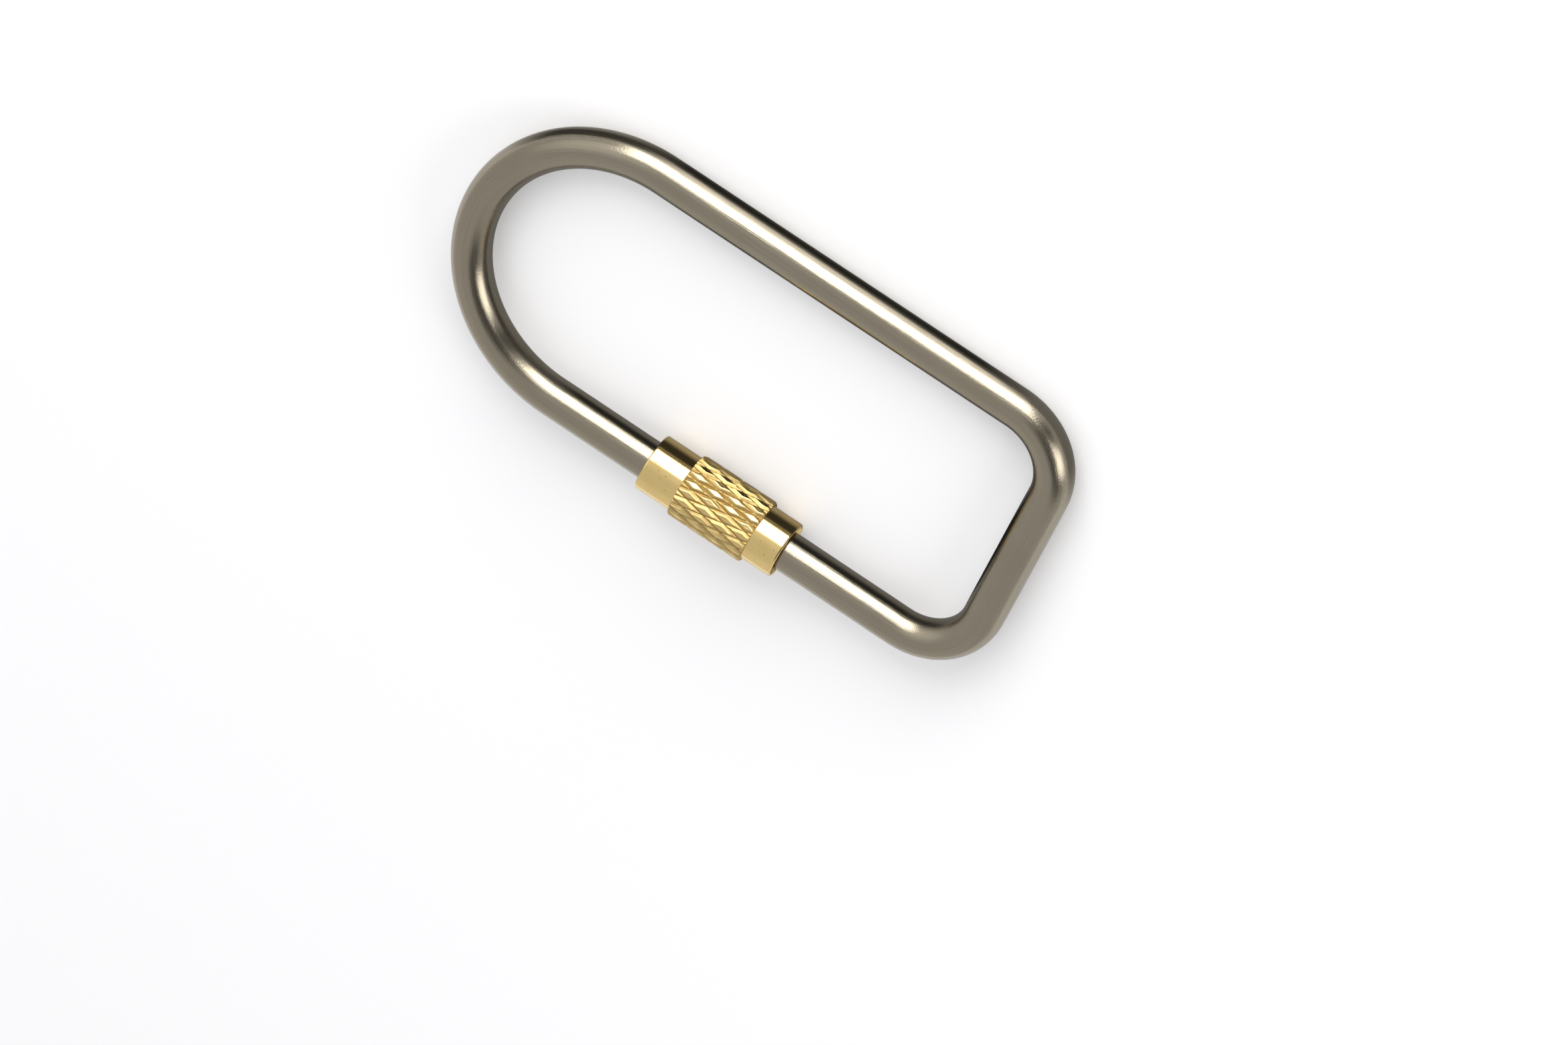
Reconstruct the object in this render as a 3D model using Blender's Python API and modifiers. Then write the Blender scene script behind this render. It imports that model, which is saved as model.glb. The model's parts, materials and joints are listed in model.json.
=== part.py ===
"""Screw lock keyring: a bent wire loop whose two ends meet inside a knurled brass sleeve.

The sleeve screws onto a threaded tip on one wire end. Unscrewed, it runs back along its
leg and leaves a gap between the two ends, which opens the loop.

Lengths are in metres. X runs along the two straight legs, towards the squared end of the
loop. Y runs across the loop, from the sleeve's leg towards the plain leg. Z is up. The
loop lies as it does on a table, propped a little by the sleeve, and the origin is the
middle of its outline at table height.
"""

import math

import bmesh
import bpy
from mathutils import Matrix, Vector

# Bent wire loop
WIRE_DIAMETER = 0.0030
LEG_SPACING = 0.02172          # between the centrelines of the two straight legs
LEG_LENGTH = 0.0348            # from the centre of the round bend to the end bar
CORNER_RADIUS = 0.0050         # centreline radius of the two corners at the end bar
BEND_SEGMENTS = 28             # along the half circle
CORNER_SEGMENTS = 12           # along each quarter circle
LEG_SEGMENTS = 6               # along the plain leg
WIRE_BEVEL_RESOLUTION = 8      # gives the tube twenty sides

# Wire ends, turned down and riveted over inside the sleeve
SPIGOT_STEP = 0.0005           # from the wire's surface in to the spigot
RIVET_STAND = 0.0004           # from the spigot out to the edge of its riveted head
RIVET_LENGTH = 0.0005
RIVET_EDGE = 0.00015           # bevel of the riveted head
SPIGOT_ROOT = 0.0008           # how far a spigot is sunk into the wire it is turned from

# Lock sleeve, measured along the leg
SLEEVE_START = 0.0085          # its plain end, from the centre of the round bend
PLAIN_COLLAR_LENGTH = 0.0030
KNURL_LENGTH = 0.0062
MOUTH_COLLAR_LENGTH = 0.0024
SLEEVE_WALL = 0.00022          # round the chamber, at the collars
KNURL_STAND = 0.0003           # how far the knurled band stands out of the collars
KNURL_EDGE = 0.00010           # chamfer at both ends of the knurled band
COLLAR_EDGE = 0.00012          # chamfer round the sleeve's two ends
BORE_EDGE = 0.00010            # chamfer round the inside of the two mouths
SHOULDER_LENGTH = 0.0017       # wall at the plain end that the stop ring lies against
SLEEVE_SIDES = 40

# Knurl
KNURL_STARTS = 20              # grooves each way round the band
KNURL_ANGLE = math.radians(13.0)   # between a groove and the sleeve's axis
KNURL_GROOVE_WIDTH = 0.00043
KNURL_RIGHT_DEPTH = 0.00021
KNURL_LEFT_DEPTH = 0.00020     # a little shallower, so that no two roots meet
KNURL_SEGMENTS = 6             # along each groove
KNURL_OVERCUT_SHARE = 0.25     # how far a groove's cutter stands out, by its depth

# Thread
THREAD_PITCH = 0.0006
THREAD_HEIGHT = 0.00024
THREAD_BASE_WIDTH = 0.00040
THREAD_CREST_WIDTH = 0.00012
TIP_TURNS = 4
SLEEVE_TURNS = 5
TIP_STEP = 0.00016             # from the wire's surface out to the root of the tip's thread
TIP_THREAD_MARGIN = 0.00005    # plain length at each end of the tip's thread
TIP_SET_BACK = 0.0009          # from the sleeve's mouth in to the tip
TIP_EDGE = 0.00010

# Stop ring
RING_LENGTH = 0.0012
RING_EDGE = 0.00010

# Clearances
RUNNING_CLEARANCE = 0.00006    # radial, where one round piece turns or slides in another
THREAD_CLEARANCE = 0.00008     # radial, between crests and roots
SEAT_GAP = 0.00005             # between two end faces that meet
END_MARGIN = 0.0005            # straight wire left beyond the sleeve when it is run back
OVERRUN = 0.0005               # how far a cut runs past the piece
WALL_BITE = 0.00006            # how far a thread ridge is rooted in its wall
WELD_DISTANCE = 0.000001

TURNED_STEPS = 24

# Worked out from the sizes above
wire_r = WIRE_DIAMETER / 2
bend_r = LEG_SPACING / 2
spigot_r = wire_r - SPIGOT_STEP
rivet_r = spigot_r + RIVET_STAND
bore_r = wire_r + RUNNING_CLEARANCE
tip_root_r = wire_r + TIP_STEP
tip_crest_r = tip_root_r + THREAD_HEIGHT
chamber_r = tip_crest_r + THREAD_CLEARANCE
sleeve_crest_r = chamber_r - THREAD_HEIGHT
ring_r = sleeve_crest_r - RUNNING_CLEARANCE
collar_r = chamber_r + SLEEVE_WALL
knurl_r = collar_r + KNURL_STAND

sleeve_length = PLAIN_COLLAR_LENGTH + KNURL_LENGTH + MOUTH_COLLAR_LENGTH
mouth_x = SLEEVE_START + sleeve_length
shoulder_x = SLEEVE_START + SHOULDER_LENGTH
ring_x = shoulder_x + SEAT_GAP
plain_rivet_x = ring_x + RING_LENGTH + SEAT_GAP
tip_length = TIP_TURNS * THREAD_PITCH + THREAD_BASE_WIDTH + 2 * TIP_THREAD_MARGIN
tip_end_x = mouth_x - TIP_SET_BACK
tip_x = tip_end_x - tip_length
tip_wire_x = tip_end_x + SEAT_GAP
tip_rivet_x = tip_x - SEAT_GAP
tip_thread_x = tip_x + TIP_THREAD_MARGIN + THREAD_BASE_WIDTH / 2
sleeve_thread_x = tip_thread_x - THREAD_PITCH / 2
travel = SLEEVE_START - END_MARGIN
half_facet = math.pi / SLEEVE_SIDES

# The loop rests on the sleeve's knurl on one side and on the plain leg on the other.
tilt = math.asin((knurl_r - wire_r) / LEG_SPACING)
centre_x = -(LEG_LENGTH - bend_r) / 2
centre_y = (knurl_r - wire_r) / 2
centre_z = (knurl_r + wire_r) / 2
loop_place = (Matrix.Translation((centre_x, centre_y, centre_z))
              @ Matrix.Rotation(-tilt, 4, 'X'))
axis_place = Matrix.Translation(loop_place @ Vector((0, -bend_r, 0)))
along_x = Matrix.Rotation(math.radians(90.0), 4, 'Y')    # turns local Z to the leg's X


def clear_scene():
    for obj in list(bpy.data.objects):
        bpy.data.objects.remove(obj, do_unlink=True)


def collection(name):
    found = bpy.data.collections.new(name)
    bpy.context.scene.collection.children.link(found)
    return found


def material(name, colour, roughness):
    made = bpy.data.materials.new(name)
    made.use_nodes = True
    shader = made.node_tree.nodes["Principled BSDF"]
    shader.inputs["Base Color"].default_value = (*colour, 1.0)
    shader.inputs["Metallic"].default_value = 1.0
    shader.inputs["Roughness"].default_value = roughness
    return made


def mesh_object(name, mesh, group, finish=None):
    obj = bpy.data.objects.new(name, mesh)
    group.objects.link(obj)
    if finish is not None:
        mesh.materials.append(finish)
    if group == cutters:
        obj.hide_render = True
        obj.display_type = 'WIRE'
    return obj


def turned(name, profile, group, finish=None, steps=TURNED_STEPS, ring=False):
    """A turned piece: (radius, height) points, down the outer side, spun about local Z."""
    mesh = bpy.data.meshes.new(name)
    count = len(profile)
    edges = [(i, i + 1) for i in range(count - 1)]
    if ring:
        edges.append((count - 1, 0))
    mesh.from_pydata([(r, 0, z) for r, z in profile], edges, [])
    obj = mesh_object(name, mesh, group, finish)
    screw = obj.modifiers.new("Turn", 'SCREW')
    screw.axis = 'Z'
    screw.steps = steps
    screw.render_steps = steps
    screw.use_merge_vertices = True
    screw.merge_threshold = WELD_DISTANCE
    screw.use_smooth_shade = False
    return obj


def swept(section, centre, turn, travel_along, steps):
    """A closed solid: the section's face carried round local Z while it moves along it."""
    bm = bmesh.new()
    face = bm.faces.new([bm.verts.new(point) for point in section])
    bmesh.ops.spin(bm, geom=[face, *face.edges, *face.verts], cent=centre,
                   axis=(0, 0, 1), dvec=(0, 0, travel_along / steps), angle=turn,
                   steps=steps, use_duplicate=False)
    bmesh.ops.recalc_face_normals(bm, faces=bm.faces)
    return bm


def thread_ridge(name, inner_r, outer_r, inner_width, outer_width, start, turns):
    """A helical ridge of trapezoid section, right-handed about local Z.

    It starts half a facet round, so its corners fall between the edges of its wall.
    """
    section = [(outer_r, 0, start - outer_width / 2), (outer_r, 0, start + outer_width / 2),
               (inner_r, 0, start + inner_width / 2), (inner_r, 0, start - inner_width / 2)]
    bm = swept(section, (0, 0, 0), 2 * math.pi * turns, THREAD_PITCH * turns,
               SLEEVE_SIDES * turns)
    bmesh.ops.rotate(bm, verts=bm.verts, cent=(0, 0, 0),
                     matrix=Matrix.Rotation(half_facet, 3, 'Z'))
    mesh = bpy.data.meshes.new(name)
    bm.to_mesh(mesh)
    bm.free()
    return mesh_object(name, mesh, cutters)


def knurl_grooves(name, start, length, way, depth, facet_share):
    """All the V grooves that run one way round the band, as one set of cutters.

    facet_share sets where they start, so that the crossings miss the band's own edges.
    """
    root_r = knurl_r - depth
    outer_r = knurl_r + depth * KNURL_OVERCUT_SHARE
    half = (KNURL_GROOVE_WIDTH / math.cos(KNURL_ANGLE) / 2) * (1 + KNURL_OVERCUT_SHARE)
    turn = way * length * math.tan(KNURL_ANGLE) / knurl_r
    gathered = bmesh.new()
    for i in range(KNURL_STARTS):
        bm = swept([(root_r, 0, start), (outer_r, -half, start), (outer_r, half, start)],
                   (0, 0, 0), turn, length, KNURL_SEGMENTS)
        around = 2 * half_facet * facet_share + 2 * math.pi * i / KNURL_STARTS
        bmesh.ops.rotate(bm, verts=bm.verts, cent=(0, 0, 0),
                         matrix=Matrix.Rotation(around, 3, 'Z'))
        mesh = bpy.data.meshes.new(name)
        bm.to_mesh(mesh)
        bm.free()
        gathered.from_mesh(mesh)
        bpy.data.meshes.remove(mesh)
    mesh = bpy.data.meshes.new(name)
    gathered.to_mesh(mesh)
    gathered.free()
    return mesh_object(name, mesh, cutters)


def boolean(obj, other, operation):
    step = obj.modifiers.new(other.name, 'BOOLEAN')
    step.operation = operation
    step.solver = 'EXACT'
    step.object = other


def wire_points():
    """The wire's centreline, from the end at the stop ring round to the threaded tip."""
    points = [Vector((shoulder_x, -bend_r, 0))]
    for i in range(BEND_SEGMENTS + 1):
        a = -math.pi / 2 - math.pi * i / BEND_SEGMENTS
        points.append(Vector((bend_r * math.cos(a), bend_r * math.sin(a), 0)))
    corner_x = LEG_LENGTH - CORNER_RADIUS
    corner_y = bend_r - CORNER_RADIUS
    for i in range(1, LEG_SEGMENTS):
        points.append(Vector((corner_x * i / LEG_SEGMENTS, bend_r, 0)))
    for side in (1, -1):
        for i in range(CORNER_SEGMENTS + 1):
            a = side * math.pi / 2 * (1 - i / CORNER_SEGMENTS if side > 0
                                      else i / CORNER_SEGMENTS)
            points.append(Vector((corner_x + CORNER_RADIUS * math.cos(a),
                                  side * corner_y + CORNER_RADIUS * math.sin(a), 0)))
    points.append(Vector((tip_wire_x, -bend_r, 0)))
    return points


def wire_tube(name, group, finish):
    curve = bpy.data.curves.new(name + "_centreline", 'CURVE')
    curve.dimensions = '3D'
    curve.twist_mode = 'Z_UP'
    curve.bevel_depth = wire_r
    curve.bevel_resolution = WIRE_BEVEL_RESOLUTION
    curve.use_fill_caps = True
    points = wire_points()
    spline = curve.splines.new('POLY')
    spline.points.add(len(points) - 1)
    for slot, point in zip(spline.points, points):
        slot.co = (*point, 1)
    guide = bpy.data.objects.new(name + "_centreline", curve)
    guide.matrix_world = loop_place
    group.objects.link(guide)
    bpy.context.view_layer.update()
    depsgraph = bpy.context.evaluated_depsgraph_get()
    mesh = bpy.data.meshes.new_from_object(guide.evaluated_get(depsgraph))
    mesh.name = name
    bm = bmesh.new()
    bm.from_mesh(mesh)
    bmesh.ops.remove_doubles(bm, verts=bm.verts, dist=WELD_DISTANCE)
    bmesh.ops.recalc_face_normals(bm, faces=bm.faces)
    bm.to_mesh(mesh)
    bm.free()
    mesh.materials.clear()
    obj = mesh_object(name, mesh, group, finish)
    obj.matrix_world = guide.matrix_world
    bpy.data.objects.remove(guide, do_unlink=True)
    return obj


def riveted_end(name, wire_x, rivet_x, way):
    """A spigot with its riveted head. way is the way it points along the leg."""
    length = abs(rivet_x - wire_x)
    profile = [(0, length + RIVET_LENGTH),
               (rivet_r - RIVET_EDGE, length + RIVET_LENGTH),
               (rivet_r, length + RIVET_LENGTH - RIVET_EDGE),
               (rivet_r, length), (spigot_r, length),
               (spigot_r, -SPIGOT_ROOT), (0, -SPIGOT_ROOT)]
    obj = turned(name, profile, cutters)
    turn = along_x if way > 0 else Matrix.Rotation(math.radians(-90.0), 4, 'Y')
    obj.matrix_world = axis_place @ Matrix.Translation((wire_x, 0, 0)) @ turn
    return obj


def shade_round(obj):
    obj.data.shade_smooth()
    obj.data.set_sharp_from_angle(angle=math.radians(35.0))


clear_scene()
parts = collection("screw_lock_keyring")
cutters = collection("cutters")

steel = material("satin_steel", (0.56, 0.53, 0.49), 0.30)
ring_steel = material("ring_steel", (0.50, 0.49, 0.47), 0.38)
tip_steel = material("tip_steel", (0.52, 0.50, 0.48), 0.35)
brass = material("polished_brass", (0.80, 0.61, 0.27), 0.24)

# The joint axis: the centreline of the sleeve's leg, at the sleeve's plain end
sleeve_axis = bpy.data.objects.new("sleeve_axis", None)
sleeve_axis.matrix_world = axis_place @ Matrix.Translation((SLEEVE_START, 0, 0)) @ along_x
sleeve_axis.empty_display_size = knurl_r
parts.objects.link(sleeve_axis)
bpy.context.view_layer.update()


def on_axis(obj):
    obj.parent = sleeve_axis


# Bent wire, with both ends turned down and riveted over
wire = wire_tube("wire_loop", parts, steel)
boolean(wire, riveted_end("plain_spigot", shoulder_x, plain_rivet_x, 1), 'UNION')
boolean(wire, riveted_end("tip_spigot", tip_wire_x, tip_rivet_x, -1), 'UNION')
shade_round(wire)

# Stop ring: loose on its spigot, it keeps the sleeve on the plain wire end
ring_bore_r = spigot_r + RUNNING_CLEARANCE
ring_low = ring_x - SLEEVE_START
ring_high = ring_low + RING_LENGTH
stop_ring = turned("stop_ring", [
    (ring_bore_r, ring_high), (ring_r - RING_EDGE, ring_high),
    (ring_r, ring_high - RING_EDGE), (ring_r, ring_low + RING_EDGE),
    (ring_r - RING_EDGE, ring_low), (ring_bore_r, ring_low)],
    parts, ring_steel, SLEEVE_SIDES, ring=True)
on_axis(stop_ring)
shade_round(stop_ring)

# Threaded tip: pressed on the other spigot, with the screw thread outside
tip_bore_r = spigot_r + RUNNING_CLEARANCE
tip_low = tip_x - SLEEVE_START
tip_high = tip_low + tip_length
tip = turned("threaded_tip", [
    (tip_bore_r, tip_high), (tip_root_r - TIP_EDGE, tip_high),
    (tip_root_r, tip_high - TIP_EDGE), (tip_root_r, tip_low + TIP_EDGE),
    (tip_root_r - TIP_EDGE, tip_low), (tip_bore_r, tip_low)],
    parts, tip_steel, SLEEVE_SIDES, ring=True)
tip_ridge = thread_ridge("tip_thread", tip_root_r - WALL_BITE, tip_crest_r,
                         THREAD_BASE_WIDTH, THREAD_CREST_WIDTH,
                         tip_thread_x - SLEEVE_START, TIP_TURNS)
on_axis(tip)
on_axis(tip_ridge)
boolean(tip, tip_ridge, 'UNION')
shade_round(tip)

# Lock sleeve: turned brass with a shoulder at the plain end and a wide mouth
knurl_low = PLAIN_COLLAR_LENGTH
knurl_high = PLAIN_COLLAR_LENGTH + KNURL_LENGTH
sleeve = turned("lock_sleeve", [
    (chamber_r + BORE_EDGE, sleeve_length), (collar_r - BORE_EDGE / 2, sleeve_length),
    (collar_r, sleeve_length - COLLAR_EDGE), (collar_r, knurl_high),
    (knurl_r - KNURL_EDGE, knurl_high), (knurl_r, knurl_high - KNURL_EDGE),
    (knurl_r, knurl_low + KNURL_EDGE), (knurl_r - KNURL_EDGE, knurl_low),
    (collar_r, knurl_low), (collar_r, COLLAR_EDGE), (collar_r - COLLAR_EDGE, 0),
    (bore_r + BORE_EDGE, 0), (bore_r, BORE_EDGE), (bore_r, SHOULDER_LENGTH),
    (chamber_r, SHOULDER_LENGTH), (chamber_r, sleeve_length - BORE_EDGE)],
    parts, brass, SLEEVE_SIDES, ring=True)
on_axis(sleeve)
sleeve_ridge = thread_ridge("sleeve_thread", sleeve_crest_r, chamber_r + WALL_BITE,
                            THREAD_CREST_WIDTH, THREAD_BASE_WIDTH,
                            sleeve_thread_x - SLEEVE_START, SLEEVE_TURNS)
on_axis(sleeve_ridge)
boolean(sleeve, sleeve_ridge, 'UNION')
for label, way, depth, facet_share in (("right", 1, KNURL_RIGHT_DEPTH, 0.5),
                                       ("left", -1, KNURL_LEFT_DEPTH, 0.17)):
    grooves = knurl_grooves("knurl_" + label, knurl_low - OVERRUN,
                            KNURL_LENGTH + 2 * OVERRUN, way, depth, facet_share)
    on_axis(grooves)
    boolean(sleeve, grooves, 'DIFFERENCE')
shade_round(sleeve)

bpy.context.view_layer.update()
print("sleeve travel %.2f mm, %.1f degrees of turn"
      % (travel * 1000, travel / THREAD_PITCH * 360))
print("sleeve axis at", tuple(round(v * 1000, 4) for v in sleeve_axis.matrix_world.translation),
      "mm")
print("tilt of the loop %.3f degrees" % math.degrees(tilt))
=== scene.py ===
# %% [markdown]
# # Screw lock keyring
#
# A ring bent from one steel wire, closed by a knurled brass sleeve that screws onto one of
# the wire's two ends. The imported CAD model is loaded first, as a fixed frame. It holds the
# true sizes and the sleeve's screw motion. Every piece that is made here lies exactly where
# its CAD node lies, and rides on the same body, so it moves as the real one does.

# %% The frame
import json
import math
import random

import bmesh
import bpy
import numpy as np
from mathutils import Matrix, Vector, noise


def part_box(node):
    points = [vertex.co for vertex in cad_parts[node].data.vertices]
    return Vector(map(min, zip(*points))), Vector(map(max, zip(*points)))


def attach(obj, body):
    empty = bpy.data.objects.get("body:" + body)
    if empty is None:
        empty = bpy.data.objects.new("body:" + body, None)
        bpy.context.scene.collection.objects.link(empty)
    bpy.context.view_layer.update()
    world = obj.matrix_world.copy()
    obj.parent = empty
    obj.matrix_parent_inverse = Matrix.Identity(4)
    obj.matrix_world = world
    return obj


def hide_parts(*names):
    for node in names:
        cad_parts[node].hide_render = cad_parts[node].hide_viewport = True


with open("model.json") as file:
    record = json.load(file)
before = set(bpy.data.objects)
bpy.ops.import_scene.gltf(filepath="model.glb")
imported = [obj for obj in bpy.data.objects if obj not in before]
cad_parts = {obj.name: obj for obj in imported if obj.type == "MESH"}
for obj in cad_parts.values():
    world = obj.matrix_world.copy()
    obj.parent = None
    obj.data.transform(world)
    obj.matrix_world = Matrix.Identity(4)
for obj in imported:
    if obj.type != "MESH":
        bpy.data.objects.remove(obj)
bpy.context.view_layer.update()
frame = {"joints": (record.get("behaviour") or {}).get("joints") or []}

# %% [markdown]
# ## Sizes
#
# All lengths are in metres. The sizes are those of the CAD model: the wire, the loop that it
# is bent into, the sleeve, and what the sleeve hides. Places are measured along the sleeve's
# leg, from the centre of the round bend towards the squared end of the loop.

# %% Sizes of the loop
WIRE_DIAMETER = 0.0030
LEG_SPACING = 0.02172
LEG_LENGTH = 0.0348
CORNER_RADIUS = 0.0050

wire_r = WIRE_DIAMETER / 2
bend_r = LEG_SPACING / 2
corner_x = LEG_LENGTH - CORNER_RADIUS
corner_y = bend_r - CORNER_RADIUS
loop_length = bend_r + LEG_LENGTH + WIRE_DIAMETER
print("loop: %.1f x %.1f mm" % (loop_length * 1000, (LEG_SPACING + WIRE_DIAMETER) * 1000))

# %% Sizes of the sleeve
SLEEVE_START = 0.0085
PLAIN_COLLAR_LENGTH = 0.0030
KNURL_LENGTH = 0.0062
MOUTH_COLLAR_LENGTH = 0.0024
COLLAR_RADIUS = 0.0022
KNURL_RADIUS = 0.0025
CHAMBER_RADIUS = 0.00198
BORE_RADIUS = 0.00156
SHOULDER_LENGTH = 0.0017

sleeve_length = PLAIN_COLLAR_LENGTH + KNURL_LENGTH + MOUTH_COLLAR_LENGTH
knurl_low = PLAIN_COLLAR_LENGTH
knurl_high = PLAIN_COLLAR_LENGTH + KNURL_LENGTH
print("sleeve: %.1f mm long, %.1f mm thick" % (sleeve_length * 1000, KNURL_RADIUS * 2000))

# %% Sizes of what the sleeve hides
SPIGOT_RADIUS = 0.0010
RIVET_RADIUS = 0.0014
RIVET_LENGTH = 0.0005
INNER_BORE_RADIUS = 0.00106
RING_RADIUS = 0.00168
RING_LENGTH = 0.0012
TIP_ROOT_RADIUS = 0.00166
TIP_CREST_RADIUS = 0.0019
TIP_LENGTH = 0.0029
TIP_SET_BACK = 0.0009
THREAD_PITCH = 0.0006
THREAD_HEIGHT = 0.00024
THREAD_BASE_WIDTH = 0.00040
THREAD_CREST_WIDTH = 0.00012
SEAT_GAP = 0.00005

shoulder_x = SLEEVE_START + SHOULDER_LENGTH
ring_x = shoulder_x + SEAT_GAP
plain_end_x = ring_x + RING_LENGTH + SEAT_GAP + RIVET_LENGTH
tip_high_x = SLEEVE_START + sleeve_length - TIP_SET_BACK
tip_low_x = tip_high_x - TIP_LENGTH
tip_wire_x = tip_high_x + SEAT_GAP
tip_end_x = tip_low_x - SEAT_GAP - RIVET_LENGTH
print("gap between the two riveted ends: %.2f mm" % ((tip_end_x - plain_end_x) * 1000))

# %% [markdown]
# ## Where things lie
#
# The ring lies on a table. Its sleeve is thicker than its wire, so the loop leans by a few
# degrees, from the knurl on one side to the plain leg on the other. Typed places would break
# when the CAD moves. So the sleeve's axis is read from the CAD joint and its plain end from
# the CAD node, and the loop is hung from them.

# %% Places from the frame
turn_joint = next(joint for joint in frame["joints"] if joint["name"] == "sleeve_turn")
sleeve_axis = Vector(turn_joint["pos_m"])
sleeve_axis.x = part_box("lock_sleeve")[0].x
lean = math.asin((KNURL_RADIUS - wire_r) / LEG_SPACING)

sleeve_place = Matrix.Translation(sleeve_axis)
leg_place = sleeve_place @ Matrix.Translation((-SLEEVE_START, 0, 0))
loop_place = leg_place @ Matrix.Rotation(-lean, 4, 'X') @ Matrix.Translation((0, bend_r, 0))
print("lean %.2f degrees" % math.degrees(lean))

# %% [markdown]
# ## Skins of rings
#
# Wire, ring and tip are all round in section, so each is a stack of rings joined by faces.
# A turning modifier could make most of them. Writing the rings out also lets every point
# remember where it lay in the straight bar that the piece was made from. The materials read
# that place, as the attribute `lay`, to run drawing lines along the wire round every bend
# with no seam, and turning lines round the brass.

# %% What every piece needs
SHARP_ANGLE = math.radians(32)


def keep_lay(mesh, lay, strain):
    """Stores each point's place in the bar, and how hard the metal was bent there."""
    mesh.attributes.new("lay", 'FLOAT_VECTOR', 'POINT').data.foreach_set(
        "vector", np.asarray(lay, np.float32).ravel())
    mesh.attributes.new("strain", 'FLOAT', 'POINT').data.foreach_set(
        "value", np.asarray(strain, np.float32).ravel())


def add_piece(name, mesh, place):
    """A new object whose place is in its mesh, as it is for the CAD nodes."""
    mesh.transform(place)
    piece = bpy.data.objects.new(name, mesh)
    bpy.context.scene.collection.objects.link(piece)
    mesh.shade_smooth()
    mesh.set_sharp_from_angle(angle=SHARP_ANGLE)
    print(name, len(mesh.polygons), "faces")
    return piece


# %% A piece from stacked rings
RING_SIDES = 72


def ring_faces(count, closed):
    """Faces between each ring and the next, and from the last to the first if closed."""
    faces = []
    for a in range(count if closed else count - 1):
        low, high = a * RING_SIDES, (a + 1) % count * RING_SIDES
        for i in range(RING_SIDES):
            j = (i + 1) % RING_SIDES
            faces.append((low + i, low + j, high + j, high + i))
    return faces


def circle(radius):
    """The points of one ring."""
    angles = [2 * math.pi * i / RING_SIDES for i in range(RING_SIDES)]
    return [(radius * math.cos(angle), radius * math.sin(angle)) for angle in angles]


def turned_mesh(name, profile):
    """A turned ring: (along, radius) points round its closed section, spun about local X."""
    points = [(along, y, z) for along, radius in profile for y, z in circle(radius)]
    mesh = bpy.data.meshes.new(name)
    mesh.from_pydata(points, [], ring_faces(len(profile), closed=True))
    keep_lay(mesh, points, [0] * len(points))
    return mesh


print("points in each ring:", len(circle(wire_r)))

# %% [markdown]
# ## The bent wire
#
# On the real object this is one drawn wire, bent cold round two sizes of former. Its ends
# are turned down to spigots, and each spigot's end is riveted over to hold what is on it. A
# curve with a bevel would give the loop, but not the ends or the record of the straight
# wire. So a short walk lays out the centreline, run by run, and a ring is put at each step.

# %% The centreline
WIRE_STEP = 0.0003

runs = [(shoulder_x, 0),                                   # sleeve's leg, plain end
        (math.pi * bend_r, -1 / bend_r),                   # round bend
        (corner_x, 0),                                     # plain leg
        (math.pi / 2 * CORNER_RADIUS, -1 / CORNER_RADIUS),
        (2 * corner_y, 0),                                 # end bar
        (math.pi / 2 * CORNER_RADIUS, -1 / CORNER_RADIUS),
        (corner_x - tip_wire_x, 0)]                        # sleeve's leg, mouth end


def walk(runs):
    """Steps along the centreline: distance, x, y, heading and how sharply it bends."""
    x, y, heading, distance = shoulder_x, -bend_r, math.pi, 0
    steps = [(distance, x, y, heading, 0)]
    for length, curve in runs:
        count = math.ceil(length / WIRE_STEP)
        swing = curve * length / count
        chord = 2 / curve * math.sin(swing / 2) if curve else length / count
        for _ in range(count):
            x += chord * math.cos(heading + swing / 2)
            y += chord * math.sin(heading + swing / 2)
            heading += swing
            distance += length / count
            steps.append((distance, x, y, heading, abs(curve)))
    return steps


centreline = walk(runs)
print("wire %.1f mm long, in %d steps" % (centreline[-1][0] * 1000, len(centreline)))

# %% The riveted ends
WIRE_EDGE = 0.00008
# The riveted head: how far in from its end, and how wide by its radius, then from its foot
HEAD_CROWN = [(0, 0.30), (0.000016, 0.62), (0.00008, 0.86), (0.00016, 0.97), (0.00028, 1)]
HEAD_FOOT = [(0.00008, 0.985), (0, 0.93)]


def riveted_end(spigot):
    """(outward, radius) points, from the middle of the riveted head in to the full wire."""
    head = spigot + RIVET_LENGTH
    return [*((head - deep, RIVET_RADIUS * share) for deep, share in HEAD_CROWN),
            *((spigot + out, RIVET_RADIUS * share) for out, share in HEAD_FOOT),
            (spigot, SPIGOT_RADIUS), (0, SPIGOT_RADIUS),
            (0, wire_r - WIRE_EDGE), (-WIRE_EDGE, wire_r)]


def wire_stations():
    """Every ring of the wire, end to end: (distance, x, y, heading, curve, radius)."""
    stations = []
    distance, x, y, heading, _ = centreline[0]
    for out, radius in riveted_end(plain_end_x - RIVET_LENGTH - shoulder_x):
        stations.append((distance - out, x + out, y, heading, 0, radius))
    stations += [(*step, wire_r) for step in centreline[1:-1]]
    distance, x, y, heading, _ = centreline[-1]
    for out, radius in reversed(riveted_end(tip_wire_x - tip_end_x - RIVET_LENGTH)):
        stations.append((distance + out, x - out, y, heading, 0, radius))
    return stations


stations = wire_stations()
print("the wire has", len(stations), "rings")

# %% The wire's skin
OVAL_SHARE = 0.012     # how far the section is flattened where the bend is sharpest
STRAIN_REACH = 6       # steps over which the strain fades at the end of a bend


def soft_strain(curves):
    """The bend at each ring, 1 at the tightest corner, faded at the ends of each bend."""
    padded = np.pad(np.array(curves) * CORNER_RADIUS, STRAIN_REACH, mode='edge')
    window = np.hanning(2 * STRAIN_REACH + 1)
    return np.convolve(padded, window / window.sum(), mode='valid')


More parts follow.
